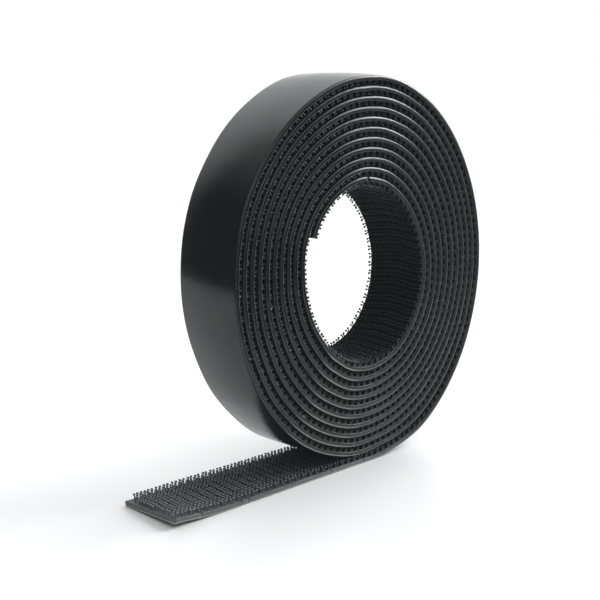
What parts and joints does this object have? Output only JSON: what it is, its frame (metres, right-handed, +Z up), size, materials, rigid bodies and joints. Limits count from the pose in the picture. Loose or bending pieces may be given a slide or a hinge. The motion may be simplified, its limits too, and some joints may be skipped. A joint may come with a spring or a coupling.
{
  "type": "reclosable fastener tape roll",
  "caption": "Roll of adhesive-backed reclosable fastener tape, wound with its mushroom stems inwards round an open eye; the outer end lies flat as a tail and its liner peels.",
  "frame": {"origin": "on the surface the roll stands on, under the middle of its bounding box", "axes": "+Z up; the winding axis runs along Y and the front edge of the tape faces -Y; the tail points to -X"},
  "size_m": [0.1582, 0.0272, 0.1364],
  "materials": {
    "liner": "semi-gloss dark release film",
    "adhesive": "soft greyish pressure-sensitive adhesive",
    "web": "black moulded polyolefin, satin",
    "stems": "black mushroom stems with smooth rounded heads"
  },
  "bodies": {
    "coil": {"liner_coil": "liner", "adhesive_coil": "adhesive", "base_web_coil": "web", "stem_field_coil": "stems"},
    "inner_end": {"liner_inner_end": "liner", "adhesive_inner_end": "adhesive", "base_web_inner_end": "web", "stem_field_inner_end": "stems"},
    "tail_1": {"liner_tail_1": "liner", "adhesive_tail_1": "adhesive", "base_web_tail_1": "web", "stem_field_tail_1": "stems"},
    "tail_2": {"liner_tail_2": "liner", "adhesive_tail_2": "adhesive", "base_web_tail_2": "web", "stem_field_tail_2": "stems"},
    "tail_3": {"liner_tail_3": "liner", "adhesive_tail_3": "adhesive", "base_web_tail_3": "web", "stem_field_tail_3": "stems"},
    "tail_4": {"liner_tail_4": "liner", "adhesive_tail_4": "adhesive", "base_web_tail_4": "web", "stem_field_tail_4": "stems"},
    "liner_tab": {"liner_peel_tab": "liner"}
  },
  "joints": [
    {"name": "tail_curl_1", "type": "hinge", "parent": "coil", "child": "tail_1", "pos_m": [0.00128, 0, 0.00153], "axis": [0, 1, 0], "range_deg": [0, 16.5], "stiffness_Nm_per_rad": 0.004},
    {"name": "tail_curl_2", "type": "hinge", "parent": "tail_1", "child": "tail_2", "pos_m": [-0.01872, 0, 0.00153], "axis": [0, 1, 0], "range_deg": [0, 16.5]},
    {"name": "tail_curl_3", "type": "hinge", "parent": "tail_2", "child": "tail_3", "pos_m": [-0.03873, 0, 0.00153], "axis": [0, 1, 0], "range_deg": [0, 16.5]},
    {"name": "tail_curl_4", "type": "hinge", "parent": "tail_3", "child": "tail_4", "pos_m": [-0.05872, 0, 0.00153], "axis": [0, 1, 0], "range_deg": [0, 16.5]},
    {"name": "inner_flap", "type": "hinge", "parent": "coil", "child": "inner_end", "pos_m": [-0.00215, 0, 0.09806], "axis": [0, -1, 0], "range_deg": [0, 22], "stiffness_Nm_per_rad": 0.02},
    {"name": "liner_peel", "type": "hinge", "parent": "tail_4", "child": "liner_tab", "pos_m": [-0.06713, 0, 0], "axis": [0, -1, 0], "range_deg": [0, 150]}
  ],
  "couplings": [
    {"joint": "tail_curl_2", "follows": "tail_curl_1", "ratio": 1},
    {"joint": "tail_curl_3", "follows": "tail_curl_1", "ratio": 1},
    {"joint": "tail_curl_4", "follows": "tail_curl_1", "ratio": 1}
  ]
}
